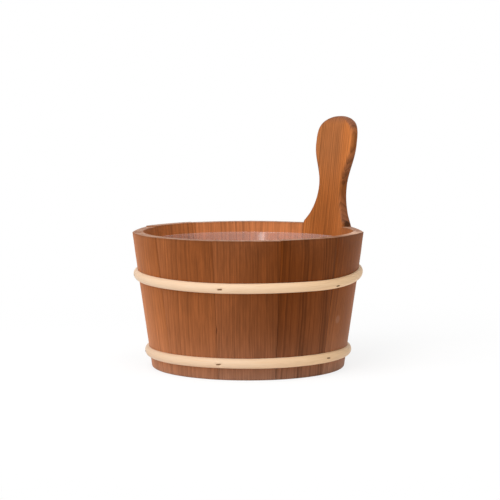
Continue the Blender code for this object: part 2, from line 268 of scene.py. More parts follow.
# Pale rim, partly wear and partly painted highlight on its top and arris; pale scuffs take it too
PALE_WEAR_AND_HIGHLIGHT = (0.600, 0.3750, 0.2600)
GRIPPED_WOOD = (0.310, 0.1210, 0.0480)
WARM_TINT = (1.06, 1.0, 0.72)
WILLOW = (0.715, 0.523, 0.362)
WILLOW_IN_PAINTED_LIGHT = (0.880, 0.600, 0.345)
WILLOW_STREAK = (0.690, 0.420, 0.235)
PAINTED_LIGHT_SPAN = (math.radians(255.0), math.radians(340.0))
DARK_WIRE = (0.10, 0.045, 0.018)
BROWN_WIRE = (0.26, 0.130, 0.055)
THIN_MILK = (0.82, 0.65, 0.65)
THICK_MILK = (0.90, 0.72, 0.72)

# Figure of the wood: sizes are a width across the grain and a length along it, in millimetres
RING_STOPS = ((0.0, 0.05), (0.45, 0.20), (0.78, 0.70), (0.90, 1.0), (1.0, 0.08))
RING_WANDER = 5.0
RING_WANDER_SIZE = (33.0, 83.0)
RING_STRENGTH_SIZE = (3.3, 83.0)
RING_LIFT = 0.35
YEARS_ALIKE = 6.0
YEAR_SPREAD = 2.2
FIBRE_SIZE = (0.75, 16.0)
FIBRE_SHOW = 0.34
STREAK_SIZE = (2.0, 60.0)
STREAK_SHOW = 0.28
CLOUD_SIZE = (14.0, 38.0)
CLOUD_SHOW = 0.22
SPECK_SIZE = (1.3, 8.0)
SPECK_STOPS = ((0.0, 0.0), (0.60, 0.0), (0.68, 1.0), (1.0, 1.0))
SPOT_CORE = 0.4
TONE_LEVEL = 65.0
# Painted light on the inner face: how far in from it it reaches, in millimetres, and how much it lightens
INSIDE_DEPTH = 6.0
INSIDE_PAINTED_LIGHT = 0.5
# Painted reflection of the white floor: how far up from the foot it dies away, in millimetres
PAINTED_REFLECTION_REACH = 21.0
GRIP_REACH = (165.0, 225.0)
GRIP_SIDE = (-24.0, -9.0)
RIM_LENGTH = BODY_HEIGHT / math.cos(SLANT) * MILLIMETRES
# Along the rim: the reach of its pale band of wear and painted highlight, and the painted shade just below it
RIM_WEAR_AND_HIGHLIGHT_REACH = 0.5
RIM_PAINTED_SHADE = 0.86
RIM_PAINTED_SHADE_REACH = 3.2
RIM_PATCH_SIZE = (11.0, 50.0)
RIM_PATCH_STOPS = ((0.34, 0.28), (0.72, 0.62))

# Figure of the willow, the wire and the liner: stretch is along the strip, scale is features to a unit
WILLOW_SEED_STEP = 9.0
WILLOW_STREAK_SCALE = 1.3
WILLOW_STREAK_STRETCH = 0.03
WILLOW_STREAK_STOPS = ((0.0, 0.0), (0.42, 0.05), (0.72, 1.0), (1.0, 1.0))
WILLOW_STREAK_SHOW = (0.6, 0.20)
WILLOW_CLOUD_STRETCH = 0.02
WIRE_PATCH_SCALE = 900.0
HAZE_SCALE = 30.0

# Surfaces: a roughness is how far it grows with the figure, and its least; a bump is a strength and a depth
WOOD_ROUGHNESS = (0.16, 0.40)
WOOD_GLOSS = 0.04
WOOD_SHEEN = 0.20
WOOD_SHEEN_ROUGHNESS = 0.30
WOOD_SHEEN_TINT = (1.0, 0.45, 0.20)
WOOD_BUMP = (0.25, 0.00012)
LATE_WOOD_RELIEF = 0.8
WILLOW_ROUGHNESS = (0.2, 0.34)
WILLOW_GLOSS = 0.15
WILLOW_BUMP = (0.3, 0.00015)
WIRE_ROUGHNESS = (0.3, 0.35)
WIRE_METAL = 0.8
LINER_ROUGHNESS = (0.05, 0.14)
LINER_GLOSS = 1.0
LINER_REFRACTION = 1.65
LINER_COVER = 0.13


# Shader helpers

def new_material(name):
    """Material with a Principled shader; returns it, its node tree and the shader."""
    material = bpy.data.materials.new(name)
    material.use_nodes = True
    tree = material.node_tree
    return material, tree, tree.nodes["Principled BSDF"]


def feed(tree, socket, value):
    """Links a socket, or sets a plain number or colour."""
    if isinstance(value, bpy.types.NodeSocket):
        tree.links.new(value, socket)
    else:
        socket.default_value = value


def calc(tree, operation, *values, clamp=False):
    """Output of a Math node."""
    node = tree.nodes.new("ShaderNodeMath")
    node.operation = operation
    node.use_clamp = clamp
    for socket, value in zip(node.inputs, values):
        feed(tree, socket, value)
    return node.outputs[0]


def vector(tree, x, y, z):
    """Output of a Combine XYZ node."""
    node = tree.nodes.new("ShaderNodeCombineXYZ")
    for socket, value in zip(node.inputs, (x, y, z)):
        feed(tree, socket, value)
    return node.outputs[0]


def noise(tree, place, scale=1.0, detail=2.0, roughness=0.5):
    """Noise value about 0.5 at a place."""
    node = tree.nodes.new("ShaderNodeTexNoise")
    feed(tree, node.inputs["Vector"], place)
    node.inputs["Scale"].default_value = scale
    node.inputs["Detail"].default_value = detail
    node.inputs["Roughness"].default_value = roughness
    return node.outputs["Fac"]


def ramp(tree, value, stops):
    """Value read through a curve of (position, level) stops."""
    node = tree.nodes.new("ShaderNodeValToRGB")
    feed(tree, node.inputs["Fac"], value)
    elements = node.color_ramp.elements
    while len(elements) < len(stops):
        elements.new(0.5)
    for element, (position, level) in zip(elements, stops):
        element.position = position
        element.color = (level, level, level, 1.0)
    return node.outputs["Color"]


def blend(tree, share, first, second, mode="MIX", clamp=True):
    """Colour between two others, or beyond them if the share isn't clamped, or their product."""
    node = tree.nodes.new("ShaderNodeMix")
    node.data_type = "RGBA"
    node.blend_type = mode
    node.clamp_factor = clamp
    colours = [socket for socket in node.inputs if socket.type == "RGBA"]
    feed(tree, node.inputs[0], share)
    for socket, value in zip(colours, (first, second)):
        feed(tree, socket, value if isinstance(value, bpy.types.NodeSocket) else (*value, 1.0))
    return next(socket for socket in node.outputs if socket.type == "RGBA")


def brighten(tree, colour, factor):
    """Colour times a number."""
    grey = vector(tree, factor, factor, factor)
    return blend(tree, 1.0, colour, grey, mode="MULTIPLY")


def distance(tree, place, centre=(0.0, 0.0, 0.0)):
    """How far a place is from a centre."""
    node = tree.nodes.new("ShaderNodeVectorMath")
    node.operation = "DISTANCE"
    feed(tree, node.inputs[0], place)
    feed(tree, node.inputs[1], centre)
    return node.outputs["Value"]


def fade(tree, value, start, end, first, last):
    """Smooth change from a first level to a last one, while a value goes from its start to its end."""
    node = tree.nodes.new("ShaderNodeMapRange")
    node.interpolation_type = "SMOOTHSTEP"
    for socket, number in zip(node.inputs, (value, start, end, first, last)):
        feed(tree, socket, number)
    return node.outputs["Result"]


def grain_place(tree):
    """Across, depth and along, in millimetres, as the mesh stores them."""
    node = tree.nodes.new("ShaderNodeAttribute")
    node.attribute_name = "grain"
    split = tree.nodes.new("ShaderNodeSeparateXYZ")
    tree.links.new(node.outputs["Vector"], split.inputs[0])
    return split.outputs


def add_bump(tree, shader, height, strength, depth):
    """Fine relief."""
    node = tree.nodes.new("ShaderNodeBump")
    node.inputs["Strength"].default_value = strength
    node.inputs["Distance"].default_value = depth
    feed(tree, node.inputs["Height"], height)
    tree.links.new(node.outputs["Normal"], shader.inputs["Normal"])


# Materials

def figure(tree, place, width, length, seed, detail=2.0):
    """Noise with features of a width across the grain and a length along it, in millimetres."""
    across, depth, along = place
    spot = vector(
        tree,
        calc(tree, "DIVIDE", across, width),
        calc(tree, "MULTIPLY_ADD", depth, 1 / width, seed),
        calc(tree, "DIVIDE", along, length),
    )
    return noise(tree, spot, detail=detail)


def sway(tree, value, amount):
    """Factor about 1 that follows a noise value."""
    return calc(tree, "MULTIPLY_ADD", value, 2 * amount, 1 - amount)


def growth_rings(tree, timber, place, seed):
    """Dark lines of late wood where the board cuts through rings about a distant heart."""
    across, depth, along = place
    wander = figure(tree, place, *RING_WANDER_SIZE, seed, detail=1.0)
    side = calc(tree, "MULTIPLY_ADD", wander, RING_WANDER, calc(tree, "SUBTRACT", across, timber.pith[0]))
    behind = calc(tree, "SUBTRACT", depth, timber.pith[1])
    squares = calc(tree, "MULTIPLY_ADD", side, side, calc(tree, "MULTIPLY", behind, behind))
    radius = calc(tree, "SQRT", squares)
    years = noise(tree, vector(tree, calc(tree, "DIVIDE", radius, YEARS_ALIKE), seed, 0.0), detail=1.0)
    spread = calc(tree, "MULTIPLY", years, YEAR_SPREAD)
    phase = calc(tree, "MULTIPLY_ADD", radius, 1 / timber.spacing, spread)
    ring = ramp(tree, calc(tree, "FRACT", phase), RING_STOPS)
    strength = figure(tree, (radius, 0.0, along), *RING_STRENGTH_SIZE, seed, detail=1.0)
    return calc(tree, "MULTIPLY", ring, calc(tree, "MULTIPLY", strength, 2 * timber.contrast), clamp=True)


def wood_colour(tree, timber, place, half_width):
    """Ground colour of a board: tones from edge to edge and from foot to rim, lighter on its inner face as
    painted light.
    """
    across, depth, along = place
    span = calc(tree, "MULTIPLY_ADD", across, 0.5 / half_width, 0.5, clamp=True)
    tone = calc(tree, "MULTIPLY_ADD", span, timber.tones[1] - timber.tones[0], timber.tones[0])
    bow = calc(tree, "MULTIPLY", span, calc(tree, "SUBTRACT", 1.0, span))
    tone = calc(tree, "MULTIPLY_ADD", bow, 4 * timber.middle, tone)
    height = calc(tree, "DIVIDE", calc(tree, "SUBTRACT", along, TONE_LEVEL), RIM_LENGTH)
    tone = calc(tree, "MULTIPLY_ADD", height, timber.rise, tone)
    inner_face = -STAVE_THICKNESS * MILLIMETRES
    tone = calc(tree, "ADD", tone, fade(tree, depth, inner_face, -INSIDE_DEPTH, INSIDE_PAINTED_LIGHT, 0.0))
    ground = blend(tree, tone, DARK_WOOD, LIGHT_WOOD, clamp=False)
    tint = tuple(1 + timber.warmth * (part - 1) for part in WARM_TINT)
    return blend(tree, 1.0, ground, tint, mode="MULTIPLY")


def painted_floor_reflection(tree, timber, place):
    """How pale a stave is painted at its foot, as a painted reflection of the white floor, dying away up the
    wall.
    """
    height = calc(tree, "DIVIDE", place[2], -PAINTED_REFLECTION_REACH)
    return calc(tree, "MULTIPLY", calc(tree, "EXPONENT", height), timber.painted_floor_reflection)


def rim_wear_and_painted_light(tree, timber, place, half_width, seed):
    """How pale a stave is along its rim, in patches of wear and painted highlight, and how dark just below,
    as painted shade.
    """
    across, depth, along = place
    upright = calc(tree, "MULTIPLY", along, math.cos(SLANT))
    height = calc(tree, "MULTIPLY_ADD", depth, -math.sin(SLANT), upright)
    top = (BODY_HEIGHT + timber.lift) * MILLIMETRES
    wear = fade(tree, across, -half_width, half_width, *timber.rim_wear_and_painted_light)
    rim = fade(tree, height, top - RIM_WEAR_AND_HIGHLIGHT_REACH, top, 0.0, wear)
    patch = figure(tree, place, *RIM_PATCH_SIZE, seed, detail=0.0)
    shade = fade(tree, height, top - RIM_PAINTED_SHADE_REACH, top - RIM_WEAR_AND_HIGHLIGHT_REACH, 1.0, RIM_PAINTED_SHADE)
    return calc(tree, "MULTIPLY", rim, ramp(tree, patch, RIM_PATCH_STOPS)), shade


def facing(tree, axis):
    """1 where a face is square to an axis, 0 where it runs along it."""
    node = tree.nodes.new("ShaderNodeVectorMath")
    node.operation = "DOT_PRODUCT"
    tree.links.new(tree.nodes.new("ShaderNodeNewGeometry").outputs["Normal"], node.inputs[0])
    feed(tree, node.inputs[1], axis)
    return calc(tree, "ABSOLUTE", node.outputs["Value"])


def wood_material(name, timber, half_width, seed, fibres=(0.0, 0.0, 1.0), sideways=(1.0, 0.0, 0.0)):
    """Solid wood that the board cuts through: growth rings, streaks, fibres, clouds, specks and dark spots.
    """
    material, tree, shader = new_material(name)
    across, depth, along = grain_place(tree)
    across = calc(tree, "MULTIPLY_ADD", along, math.tan(math.radians(timber.lean)), across)
    place = (across, depth, along)
    late = growth_rings(tree, timber, place, seed)
    fibre = figure(tree, place, *FIBRE_SIZE, seed, detail=3.0)
    shade = calc(tree, "MULTIPLY_ADD", late, -1.0, 1.0 + RING_LIFT * timber.contrast)
    shade = calc(tree, "MULTIPLY", shade, sway(tree, fibre, FIBRE_SHOW))
    shade = calc(tree, "MULTIPLY", shade, sway(tree, figure(tree, place, *STREAK_SIZE, seed), STREAK_SHOW))
    shade = calc(tree, "MULTIPLY", shade, sway(tree, figure(tree, place, *CLOUD_SIZE, seed), CLOUD_SHOW))
    if timber.speckle:
        speck = ramp(tree, figure(tree, place, *SPECK_SIZE, seed, detail=3.0), SPECK_STOPS)
        shade = calc(tree, "MULTIPLY", shade, calc(tree, "MULTIPLY_ADD", speck, -timber.speckle, 1.0))
    for centre, size, level in timber.dark_spots:
        away = distance(tree, vector(tree, *place), centre)
        shade = calc(tree, "MULTIPLY", shade, fade(tree, away, SPOT_CORE * size, size, level, 1.0))
    ground = wood_colour(tree, timber, place, half_width)
    if timber.grip:
        side = fade(tree, across, *GRIP_SIDE, 0.0, timber.grip)
        ground = blend(tree, fade(tree, along, *GRIP_REACH, 0.0, side), ground, GRIPPED_WOOD)
    # Painted shade: darker where the board's sides face across it.
    if timber.sides:
        painted_side_shade = calc(tree, "MULTIPLY_ADD", facing(tree, sideways), -timber.sides, 1.0)
        ground = brighten(tree, ground, painted_side_shade)
    ends = calc(tree, "MULTIPLY", facing(tree, fibres), timber.ends, clamp=True)
    ground = blend(tree, ends, ground, END_WOOD)
    # Painted reflection of the white floor: paler towards the foot.
    if timber.painted_floor_reflection:
        ground = blend(tree, painted_floor_reflection(tree, timber, place), ground, PAINTED_REFLECTION_COLOUR)
    # Pale along the rim, partly wear and partly painted highlight, over painted shade just below it.
    if timber.rim_wear_and_painted_light:
        pale, dark = rim_wear_and_painted_light(tree, timber, place, half_width, seed)
        ground = blend(tree, pale, brighten(tree, ground, dark), PALE_WEAR_AND_HIGHLIGHT)
    for centre, size, share in timber.scuffs:
        away = distance(tree, vector(tree, *place), centre)
        ground = blend(tree, fade(tree, away, SPOT_CORE * size, size, share, 0.0), ground, PALE_WEAR_AND_HIGHLIGHT)
    feed(tree, shader.inputs["Base Color"], brighten(tree, ground, shade))

    feed(tree, shader.inputs["Roughness"], calc(tree, "MULTIPLY_ADD", fibre, *WOOD_ROUGHNESS))
    shader.inputs["Specular IOR Level"].default_value = WOOD_GLOSS
    shader.inputs["Sheen Weight"].default_value = WOOD_SHEEN
    shader.inputs["Sheen Roughness"].default_value = WOOD_SHEEN_ROUGHNESS
    shader.inputs["Sheen Tint"].default_value = (*WOOD_SHEEN_TINT, 1.0)
    relief = calc(tree, "MULTIPLY_ADD", late, LATE_WOOD_RELIEF, fibre)
    add_bump(tree, shader, relief, *WOOD_BUMP)
    return material


def willow_material(name, seed, radius):
    """Peeled willow bent to a radius: pale, with painted warm light making it yellower on the bucket's right
    side, and long faint streaks.
    """
    material, tree, shader = new_material(name)
    across, depth, along = grain_place(tree)
    layer = calc(tree, "ADD", depth, WILLOW_SEED_STEP * seed)
    streak_place = vector(tree, across, layer, calc(tree, "MULTIPLY", along, WILLOW_STREAK_STRETCH))
    streak = noise(tree, streak_place, scale=WILLOW_STREAK_SCALE, detail=4.0, roughness=0.6)
    cloud_place = vector(tree, seed, 0.0, calc(tree, "MULTIPLY", along, WILLOW_CLOUD_STRETCH))
    cloud = noise(tree, cloud_place, detail=3.0)
    mark = ramp(tree, streak, WILLOW_STREAK_STOPS)
    share = calc(tree, "MULTIPLY", mark, calc(tree, "MULTIPLY_ADD", cloud, *WILLOW_STREAK_SHOW))
    turn = calc(tree, "DIVIDE", along, radius * MILLIMETRES)
    # Painted warm light: yellower towards the bucket's right side.
    ground = blend(tree, fade(tree, turn, *PAINTED_LIGHT_SPAN, 0.0, 1.0), WILLOW, WILLOW_IN_PAINTED_LIGHT)
    feed(tree, shader.inputs["Base Color"], blend(tree, share, ground, WILLOW_STREAK))
    feed(tree, shader.inputs["Roughness"], calc(tree, "MULTIPLY_ADD", streak, *WILLOW_ROUGHNESS))
    shader.inputs["Specular IOR Level"].default_value = WILLOW_GLOSS
    add_bump(tree, shader, streak, *WILLOW_BUMP)
    return material


def steel_material():
    """Darkened wire with brown patches."""
    material, tree, shader = new_material("staple_wire")
    place = tree.nodes.new("ShaderNodeTexCoord").outputs["Object"]
    patch = noise(tree, place, scale=WIRE_PATCH_SCALE, detail=3.0)
    feed(tree, shader.inputs["Base Color"], blend(tree, patch, DARK_WIRE, BROWN_WIRE))
    feed(tree, shader.inputs["Roughness"], calc(tree, "MULTIPLY_ADD", patch, *WIRE_ROUGHNESS))
    shader.inputs["Metallic"].default_value = WIRE_METAL
    return material


def liner_material():
    """Milky see-through moulding."""
    material, tree, shader = new_material("milky_plastic")
    place = tree.nodes.new("ShaderNodeTexCoord").outputs["Object"]
    haze = noise(tree, place, scale=HAZE_SCALE, detail=3.0)
    feed(tree, shader.inputs["Base Color"], blend(tree, haze, THIN_MILK, THICK_MILK))
    feed(tree, shader.inputs["Roughness"], calc(tree, "MULTIPLY_ADD", haze, *LINER_ROUGHNESS))
    shader.inputs["Specular IOR Level"].default_value = LINER_GLOSS
    shader.inputs["IOR"].default_value = LINER_REFRACTION
    shader.inputs["Alpha"].default_value = LINER_COVER
    return material


# Mesh helpers

def outer_radius(z):
    """Radius of the staves' outer face; above the rim the handle carries the same cone on."""
    return FOOT_RADIUS + z * math.tan(SLANT)


def inner_radius(z):
    """Radius of the staves' inner face."""
    return outer_radius(z) - STAVE_THICKNESS / math.cos(SLANT)


def loft(rings):
    """Closed skin over a row of rings with equal point counts, capped at both ends."""
    bm = bmesh.new()
    loops = [[bm.verts.new(point) for point in ring] for ring in rings]
    count = len(rings[0])
    for low, high in zip(loops, loops[1:]):
        for i in range(count):
            j = (i + 1) % count
            bm.faces.new((low[i], low[j], high[j], high[i]))
    bm.faces.new(reversed(loops[0]))
    bm.faces.new(loops[-1])
    return bm


def arc(centre_r, centre_z, radius, start, end, steps):
    """Points (r, z) on a circular arc, with its angles in degrees."""
    points = []
    for step in range(steps + 1):
        angle = math.radians(start + (end - start) * step / steps)
        points.append((centre_r + radius * math.cos(angle), centre_z + radius * math.sin(angle)))
    return points


def soften_edges(bm, width, segments):
    """Rounds every edge where two faces meet sharply."""
    bm.normal_update()
    sharp = [edge for edge in bm.edges if edge.calc_face_angle(0.0) > EASED_ANGLE]
    bmesh.ops.bevel(bm, geom=sharp, offset=width, segments=segments, profile=0.5, affect="EDGES")


def add_piece(name, bm, material, body, node, grain=None):
    """Turns a mesh into a piece that stands for a solid. grain gives each point's place in the wood."""
    bmesh.ops.recalc_face_normals(bm, faces=bm.faces)
    mesh = bpy.data.meshes.new(name)
    bm.to_mesh(mesh)
    bm.free()
    mesh.shade_smooth()
    mesh.set_sharp_from_angle(angle=SHARP_ANGLE)
    if grain:
        places = mesh.attributes.new("grain", "FLOAT_VECTOR", "POINT")
        for i, vertex in enumerate(mesh.vertices):
            places.data[i].vector = [MILLIMETRES * part for part in grain(i, vertex.co)]
    mesh.materials.append(material)
    piece = bpy.data.objects.new(name, mesh)
    bpy.context.scene.collection.objects.link(piece)
    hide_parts(node)
    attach(piece, body)
    return piece


# Staves

def joint_reach(radius, gap):
    """Half-width of a stave at a radius, up to the flat face of its joint."""
    return radius * math.sin(STAVE_PITCH / 2 - math.asin(gap / 2 / radius))


def board_ring(z, outside, inside, reach, edge, corner_steps, flat=0.0):
    """Ring of points round a curved board at one height, centred on +X, with four rounded corners.

    reach gives the half-width at a radius on the left (-1) or right (1) side. flat takes the outer face from
    the round of the whole ring (0) to a plane between its corners (1).
    """
    turns = [math.pi / 2 * step / corner_steps for step in range(1, corner_steps + 1)]

    def face(radius):
        left = edge - reach(radius, -1)
        right = reach(radius, 1) - edge
        steps = range(STAVE_FACE_STEPS + 1)
        return [(left + (right - left) * step / STAVE_FACE_STEPS, radius) for step in steps]

    def corner(radius, inwards, side):
        points = []
        for turn in turns:
            r = radius + inwards * edge * (1 - math.cos(turn))
            points.append((side * (reach(r, side) - edge * (1 - math.sin(turn))), r))
        return points

    def out(s, r):
        bulge = math.sqrt(r * r - s * s) - r * math.cos(STAVE_PITCH / 2)
        share = (r - inside) / (outside - inside)
        return math.sqrt(r * r - s * s) - flat * share * max(0.0, bulge)

    right_side = corner(outside, -1, 1) + corner(inside, 1, 1)[::-1]
    left_side = corner(inside, 1, -1) + corner(outside, -1, -1)[::-1]
    outline = face(outside) + right_side + face(inside)[::-1] + left_side
    return [(out(s, r), s, z) for s, r in outline]


def stave_reach(z, timber):
    """Half-width of a stave at a height, as a function of radius and side. A chip breaks its left arris."""
    def reach(radius, side):
        full = joint_reach(radius, timber.joint)
        if side > 0 or not timber.chip:
            return full
        away = (z - timber.chip) / CHIP_LENGTH
        return full - CHIP_DEPTH * math.exp(-away ** 2)

    return reach


def stave_levels(top):
    """Heights, insets and inner radii of a stave's rings, from its foot up to the start of its rim."""
    levels = []
    for step in range(ROUNDING_STEPS):
        turn = math.pi / 2 * step / ROUNDING_STEPS
        z = FOOT_ROUNDING * (1 - math.cos(turn))
        inset = FOOT_ROUNDING * (1 - math.sin(turn))
        levels.append((z, inset, inner_radius(z) + inset))
    levels.append((FOOT_ROUNDING, 0.0, inner_radius(FOOT_ROUNDING)))
    levels.append((GROOVE_BOTTOM - GROOVE_DRAFT, 0.0, inner_radius(GROOVE_BOTTOM - GROOVE_DRAFT)))
    levels.append((GROOVE_BOTTOM, 0.0, GROOVE_RADIUS))
    levels.append((GROOVE_TOP, 0.0, GROOVE_RADIUS))
    start = GROOVE_TOP + GROOVE_DRAFT
    for step in range(STAVE_LEVELS + 1):
        z = start + (top - start) * step / STAVE_LEVELS
        levels.append((z, 0.0, inner_radius(z)))
    return levels


def flatness(timber, z):
    """How flat a stave's outer face is at a height: round at the hoops, planed off towards the rim."""
    rise = max(0.0, z - FACET_START) / (BODY_HEIGHT - FACET_START)
    return timber.flat * rise ** 2


def stave_rings(timber, top, corner_steps):
    """Rings of a stave up to the start of its rim."""
    rings = []
    for z, inset, inside in stave_levels(top):
        outside = outer_radius(z) - inset - timber.shy
        reach = stave_reach(z, timber)
        flat = flatness(timber, z)
        rings.append(board_ring(z, outside, inside, reach, STAVE_ARRIS, corner_steps, flat))
    return rings


def rim_rings(timber, top):
    """Rings that round a plain stave's end over at the rim."""
    rings = []
    for step in range(1, ROUNDING_STEPS + 1):
        turn = math.pi / 2 * step / ROUNDING_STEPS
        z = top + RIM_ROUNDING * math.sin(turn)
        inset = RIM_ROUNDING * (1 - math.cos(turn))
        outside = outer_radius(z) - inset - timber.shy
        inside = inner_radius(z) + inset
        reach = stave_reach(z, timber)
        flat = flatness(timber, z)
        rings.append(board_ring(z, outside, inside, reach, STAVE_ARRIS, STAVE_CORNER_STEPS, flat))
    return rings


def handle_half_width(height):
    """Half-width of the paddle at a height above the rim: flared root, neck, broad head, round end."""
    neck = HANDLE_NECK_WIDTH / 2
    head = HANDLE_HEAD_WIDTH / 2
    if height < HANDLE_NECK_HEIGHT:
        flare = 1 - height / HANDLE_NECK_HEIGHT
        return neck + (HANDLE_ROOT_WIDTH / 2 - neck) * flare ** 2
    if height < HANDLE_HEAD_HEIGHT:
        rise = (height - HANDLE_NECK_HEIGHT) / (HANDLE_HEAD_HEIGHT - HANDLE_NECK_HEIGHT)
        return neck + (head - neck) * (1 - math.cos(math.pi * rise)) / 2
    rise = (height - HANDLE_HEAD_HEIGHT) / (HANDLE_HEIGHT - HANDLE_HEAD_HEIGHT)
    return head * math.sqrt(1 - rise ** HANDLE_HEAD_ROUNDNESS)


def handle_heights():
    """Heights above the rim at which the paddle is drawn, closer together round its end."""
    shaft = [HANDLE_HEAD_HEIGHT * step / HANDLE_SHAFT_LEVELS for step in range(HANDLE_SHAFT_LEVELS + 1)]
    last = math.acos(HANDLE_CREST_FLAT / HANDLE_HEAD_WIDTH)
    head = []
    for step in range(1, HANDLE_HEAD_LEVELS + 1):
        width = math.cos(last * step / HANDLE_HEAD_LEVELS)
        rise = (1 - width ** 2) ** (1 / HANDLE_HEAD_ROUNDNESS)
        head.append(HANDLE_HEAD_HEIGHT + (HANDLE_HEIGHT - HANDLE_HEAD_HEIGHT) * rise)
    return shaft + head


def paddle_ring(timber, height):
    """Ring across the paddle: the stave's own curve, cut to the outline and rounded on every edge."""
    z = BODY_HEIGHT + height
    crest_share = max(0.0, CREST_DEPTH - (HANDLE_HEIGHT - height)) / CREST_DEPTH
    crest_inset = CREST_ROUNDING * (1 - math.sqrt(1 - crest_share ** 2))
    half_width = handle_half_width(height)

    def reach(radius, side):
        return min(joint_reach(radius, timber.joint), half_width - side * HANDLE_OFFSET)

    run_in = min(1.0, height / HANDLE_ROUNDING_RUN_IN)
    head = min(1.0, max(0.0, height - HANDLE_NECK_HEIGHT) / (HANDLE_HEAD_HEIGHT - HANDLE_NECK_HEIGHT))
    rounding = STAVE_ARRIS + (HANDLE_ROUNDING - STAVE_ARRIS) * run_in
    rounding += (HEAD_ROUNDING - HANDLE_ROUNDING) * head
    outside = outer_radius(z) - crest_inset - timber.shy
    inside = inner_radius(z) + crest_inset
    edge = min(rounding, HANDLE_ROUNDING_LIMIT * half_width, EDGE_LIMIT * (outside - inside))
    return board_ring(z, outside, inside, reach, edge, HANDLE_CORNER_STEPS)


def stave_grain(number):
    """Function giving a point's place in a stave's wood: across its face, out from it, and up along it."""
    turn = HANDLE_AZIMUTH + number * STAVE_PITCH
    towards = (math.cos(turn), math.sin(turn))

    def place(i, point):
        out = point.x * towards[0] + point.y * towards[1] - FOOT_RADIUS
        across = point.y * towards[0] - point.x * towards[1]
        depth = out * math.cos(SLANT) - point.z * math.sin(SLANT)
        along = out * math.sin(SLANT) + point.z * math.cos(SLANT)
        return across, depth, along

    return place


def build_staves():
    """The ring of staves, counted round from the handle stave, which is number 0."""
    half_width = joint_reach(RIM_RADIUS, JOINT_GAP) * MILLIMETRES
    for number, timber in enumerate(STAVE_TIMBERS):
        shoulder = BODY_HEIGHT + timber.lift - RIM_ROUNDING
        if number == 0:
            node = "handle_stave"
            rings = stave_rings(timber, shoulder, HANDLE_CORNER_STEPS)
            rings += [paddle_ring(timber, height) for height in handle_heights()]
        else:
            node = f"stave_{number:02d}"
            rings = stave_rings(timber, shoulder, STAVE_CORNER_STEPS) + rim_rings(timber, shoulder)
        bm = loft(rings)
        turn = Matrix.Rotation(HANDLE_AZIMUTH + number * STAVE_PITCH, 4, "Z")
        bmesh.ops.transform(bm, matrix=turn, verts=bm.verts)
        fibres = turn @ Vector((math.sin(SLANT), 0.0, math.cos(SLANT)))
        sideways = turn @ Vector((0.0, 1.0, 0.0))
        material = wood_material(f"{node}_timber", timber, half_width, number * SEED_STEP, fibres, sideways)
        add_piece(f"{node}_wood", bm, material, "bucket", node, stave_grain(number))


# Hoops and staples

def hoop_level(node):
    """Height of a hoop's middle on the wall, worked back from its box, which the slant tilts."""
    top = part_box(node)[1].z
    half_height = HOOP_WIDTH / 2 * math.cos(SLANT)
    return top - half_height + SEAT_GAP * math.sin(SLANT)


def waver(turn, seed, size):
    """Small smooth change along a hoop, up to a size either way."""
    level = sum(share * math.sin(count * turn + shift * seed) for count, share, shift in HOOP_WAVES)
    return size * level / sum(share for _, share, _ in HOOP_WAVES)


def hoop_rise(turn, height, tilt):
    """How far a hoop rides up the wall: by its height at the back, and by its tilt at its right end."""
    side = math.degrees(math.remainder(turn + math.pi / 2 - CAMERA_AZIMUTH, 2 * math.pi))
    start, end = RIGHT_HOOP_CLIMB if side > 0 else LEFT_HOOP_CLIMB
    share = min(1.0, max(0.0, (abs(side) - start) / (end - start)))
    return height * share ** 2 * (3 - 2 * share) + tilt * math.sin(math.radians(side))


def staple_places(prefix, level):
    """Node, azimuth, height above the hoop's middle and tilt of each staple of a hoop."""
    places = []
    for node in sorted(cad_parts):
        if node.startswith(prefix):
            low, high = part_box(node)
            middle = (low + high) / 2
            along, up, tilt = STAPLE_MOVES.get(node, (0.0, 0.0, 0.0))
            azimuth = math.atan2(middle.y, middle.x) + along / outer_radius(level)
            places.append((node, azimuth, up, math.radians(tilt)))
    return places


def dent(along, up):
    """How far a staple, driven home, presses the willow in at a distance from its middle."""
    ends = (along / DENT_LENGTH) ** DENT_END_STEEPNESS
    sides = (up / DENT_HEIGHT) ** DENT_SIDE_STEEPNESS
    return DENT_DEPTH * math.exp(-ends - sides)


def build_hoop(node, seed, level, rise, tilt, staples):
    """Half-round strip bent round the staves, with a slanted lap, a waver and a dent under each staple."""
    wall = outer_radius(level)
    lap_centre = HANDLE_AZIMUTH + HOOP_LAP_STEP * STAVE_PITCH
    lap_gap = LAP_OPENING / wall
    rings = []
    places = []
    for step in range(HOOP_TURN_STEPS + 1):
        ring = []
        for point in range(HOOP_SECTION_STEPS + 1):
            swing = math.pi * (point / HOOP_SECTION_STEPS - 0.5)
            bulge = math.cos(swing)
            start = lap_centre + (bulge - 0.5) * HOOP_LAP_LENGTH / wall + lap_gap / 2
            turn = start + step / HOOP_TURN_STEPS * (2 * math.pi - lap_gap)
            up = HOOP_WIDTH / 2 * math.sin(swing) * (1 - HOOP_WAVER + waver(turn, seed, HOOP_WAVER))
            thickness = 1 - HOOP_WAVER + waver(turn, seed + 1, HOOP_WAVER)
            out = HOOP_SEAT + (HOOP_FRONT - HOOP_SEAT) * bulge * thickness
            for _, azimuth, height, _ in staples:
                away = math.remainder(turn - azimuth, 2 * math.pi) * wall
                out -= dent(away, up - height) * bulge
            places.append((up, out, turn * wall))
            up += waver(turn, seed + 2, HOOP_DRIFT) + hoop_rise(turn, rise, tilt) / math.cos(SLANT)
            radius = wall + out * math.cos(SLANT) + up * math.sin(SLANT)
            z = level + up * math.cos(SLANT) - out * math.sin(SLANT)
            ring.append((radius * math.cos(turn), radius * math.sin(turn), z))
        rings.append(ring)
    material = willow_material(f"{node}_willow", seed, wall)
    bm = loft(rings)
    add_piece(f"{node}_strip", bm, material, "bucket", node, lambda i, point: places[i])


